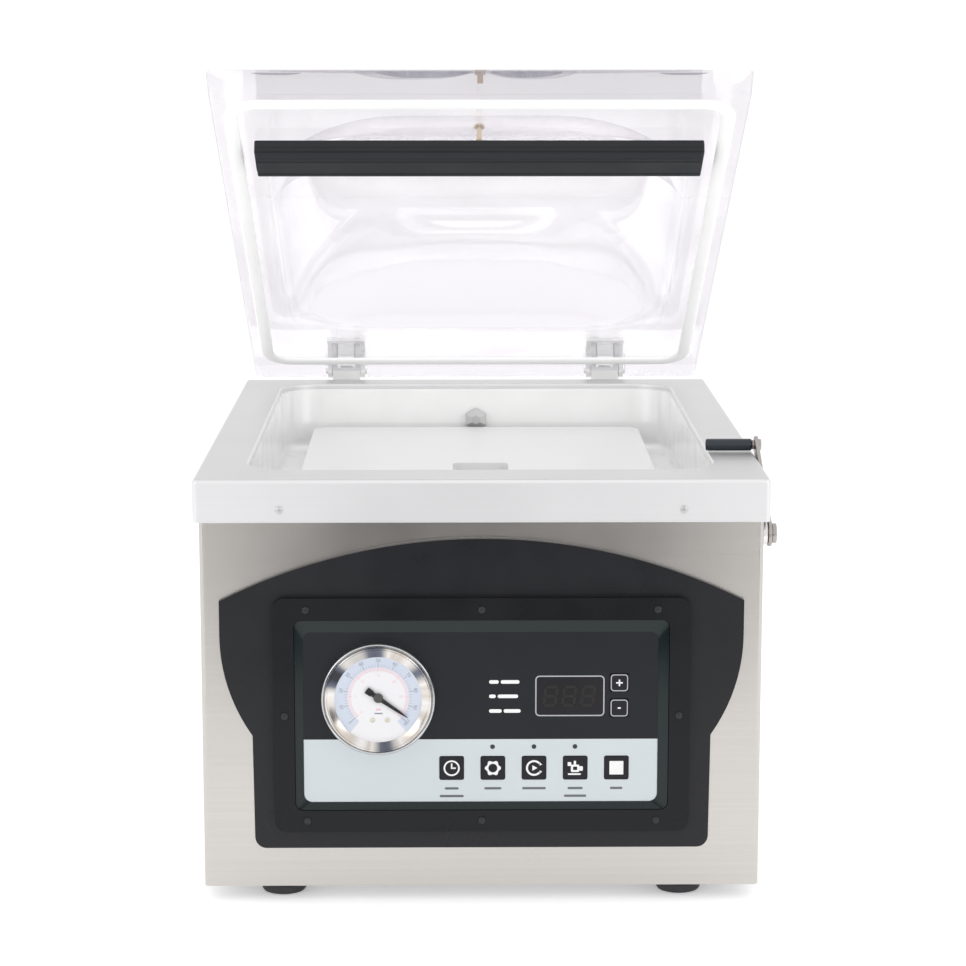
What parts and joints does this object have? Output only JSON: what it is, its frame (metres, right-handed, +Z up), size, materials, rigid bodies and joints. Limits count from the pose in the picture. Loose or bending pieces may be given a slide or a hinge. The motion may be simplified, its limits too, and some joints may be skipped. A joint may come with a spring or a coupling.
{
  "type": "vacuum packing machine",
  "caption": "Table-top chamber vacuum packing machine with a domed clear lid held open on sprung hinges, a seal bar in a steel chamber and a front control panel with a gauge.",
  "frame": {"origin": "centre of the machine's footprint, on the plane of the undersides of its feet", "axes": "+X to the machine's right as seen from the front, +Y from the front to the back, +Z up"},
  "size_m": [0.3507, 0.471, 0.5015],
  "materials": {
    "brushed_body": "brushed stainless steel, slightly warm",
    "brushed_deck": "finely brushed stainless steel, pale",
    "polished_tub": "drawn stainless steel, satin",
    "zinc_steel": "zinc-plated steel, satin",
    "bright_steel": "turned and polished stainless steel",
    "clear_acrylic": "clear cast acrylic",
    "white_foam": "white silicone foam, matt",
    "black_rubber": "black rubber, matt",
    "black_plastic": "black moulded plastic, satin",
    "fascia_black": "charcoal powder coat",
    "white_plastic": "white cutting-board polyethylene",
    "overlay_print": "printed polyester film, satin",
    "smoked_window": "pale smoked window",
    "clear_glass": "clear glass",
    "dial_white": "white printed dial",
    "key_black": "dark printed key, satin",
    "lamp_lens": "clear lamp lens, unlit",
    "board_green": "glass-fibre circuit board",
    "brass": "brass, satin",
    "cast_pump": "cast iron, grey paint",
    "motor_alu": "die-cast aluminium, grey paint",
    "copper_winding": "laminated core with copper windings",
    "filter_blue": "painted filter can",
    "valve_black": "black valve coil",
    "seal_tape": "brown PTFE-coated glass cloth",
    "red_plastic": "red moulded plastic",
    "spring_steel": "spring steel"
  },
  "bodies": {
    "cabinet": {"housing_wrap": "brushed_body", "base_plate": "zinc_steel", "rear_cover": "brushed_body", "case_screws": "zinc_steel", "rubber_feet": "black_rubber", "deck_top_sheet": "brushed_deck", "chamber_tub": "polished_tub", "suction_fitting": "bright_steel", "filler_plate": "white_plastic", "lift_cylinders": "bright_steel", "fascia": "fascia_black", "panel_frame": "black_plastic", "panel_screws": "zinc_steel", "overlay_sheet": "overlay_print", "display_window": "smoked_window", "display_module": "black_plastic", "status_lamps": "lamp_lens", "control_board": "board_green", "gauge_case": "zinc_steel", "gauge_bezel": "bright_steel", "gauge_glass": "clear_glass", "gauge_dial": "dial_white", "gauge_movement": "brass", "hinge_brackets": "zinc_steel", "hinge_pins": "spring_steel", "hinge_springs": "spring_steel", "lever_bush": "bright_steel", "lever_bolt": "bright_steel", "pump_housing": "cast_pump", "motor_housing": "motor_alu", "motor_shields": "motor_alu", "pump_mounts": "black_rubber", "exhaust_filter": "filter_blue", "transformer": "copper_winding", "solenoid_valves": "valve_black", "vacuum_hose": "black_rubber", "mains_inlet": "black_plastic", "switch_frame": "black_plastic"},
    "lid": {"lid_shell": "clear_acrylic", "lid_gasket": "white_foam", "counter_bar": "black_plastic", "counter_pad": "black_rubber", "lid_screws": "zinc_steel", "hinge_leaves": "zinc_steel"},
    "lever": {"lever_arm": "bright_steel", "grip_axle": "bright_steel"},
    "grip": {"lever_grip": "black_plastic"},
    "sealer": {"seal_bar": "bright_steel", "heating_wire": "spring_steel", "seal_tape": "seal_tape"},
    "needle": {"gauge_needle": "black_plastic"},
    "rocker": {"switch_rocker": "red_plastic"},
    "drive": {"drive_shaft": "spring_steel"},
    "key_time": {"key_time": "key_black"},
    "key_preset": {"key_preset": "key_black"},
    "key_marinate": {"key_marinate": "key_black"},
    "key_pump": {"key_pump": "key_black"},
    "key_stop": {"key_stop": "key_black"},
    "key_plus": {"key_plus": "key_black"},
    "key_minus": {"key_minus": "key_black"}
  },
  "joints": [
    {"name": "lid_hinge", "type": "hinge", "parent": "cabinet", "child": "lid", "pos_m": [0, 0.226, 0.2675], "axis": [1, 0, 0], "range_deg": [0, 31.2], "stiffness_Nm_per_rad": 2.6, "springref_deg": -171.89},
    {"name": "lever_pivot", "type": "hinge", "parent": "cabinet", "child": "lever", "pos_m": [0.174, -0.2, 0.2253], "axis": [1, 0, 0], "range_deg": [0, 93.7]},
    {"name": "grip_spin", "type": "hinge", "parent": "lever", "child": "grip", "pos_m": [0.1569, -0.12002, 0.26658], "axis": [1, 0, 0], "continuous": true},
    {"name": "seal_bar_lift", "type": "slide", "parent": "cabinet", "child": "sealer", "axis": [0, 0, 1], "range_m": [0, 0.006]},
    {"name": "needle_turn", "type": "hinge", "parent": "cabinet", "child": "needle", "pos_m": [-0.0622, -0.2229, 0.1298], "axis": [0, -1, 0], "range_deg": [-7, 257]},
    {"name": "switch_rock", "type": "hinge", "parent": "cabinet", "child": "rocker", "pos_m": [0.066, 0.2116, 0.048], "axis": [1, 0, 0], "range_deg": [-18, 0]},
    {"name": "drive_spin", "type": "hinge", "parent": "cabinet", "child": "drive", "pos_m": [0, 0.07, 0.098], "axis": [1, 0, 0], "continuous": true},
    {"name": "key_time_press", "type": "slide", "parent": "cabinet", "child": "key_time", "axis": [0, 1, 0], "range_m": [0, 0.0004], "stiffness_N_per_m": 800, "springref_m": -0.0004},
    {"name": "key_preset_press", "type": "slide", "parent": "cabinet", "child": "key_preset", "axis": [0, 1, 0], "range_m": [0, 0.0004], "stiffness_N_per_m": 800, "springref_m": -0.0004},
    {"name": "key_marinate_press", "type": "slide", "parent": "cabinet", "child": "key_marinate", "axis": [0, 1, 0], "range_m": [0, 0.0004], "stiffness_N_per_m": 800, "springref_m": -0.0004},
    {"name": "key_pump_press", "type": "slide", "parent": "cabinet", "child": "key_pump", "axis": [0, 1, 0], "range_m": [0, 0.0004], "stiffness_N_per_m": 800, "springref_m": -0.0004},
    {"name": "key_stop_press", "type": "slide", "parent": "cabinet", "child": "key_stop", "axis": [0, 1, 0], "range_m": [0, 0.0004], "stiffness_N_per_m": 800, "springref_m": -0.0004},
    {"name": "key_plus_press", "type": "slide", "parent": "cabinet", "child": "key_plus", "axis": [0, 1, 0], "range_m": [0, 0.0004], "stiffness_N_per_m": 800, "springref_m": -0.0004},
    {"name": "key_minus_press", "type": "slide", "parent": "cabinet", "child": "key_minus", "axis": [0, 1, 0], "range_m": [0, 0.0004], "stiffness_N_per_m": 800, "springref_m": -0.0004}
  ],
  "couplings": [
    {"joint": "lever_pivot", "follows": "lid_hinge", "ratio": 3}
  ]
}
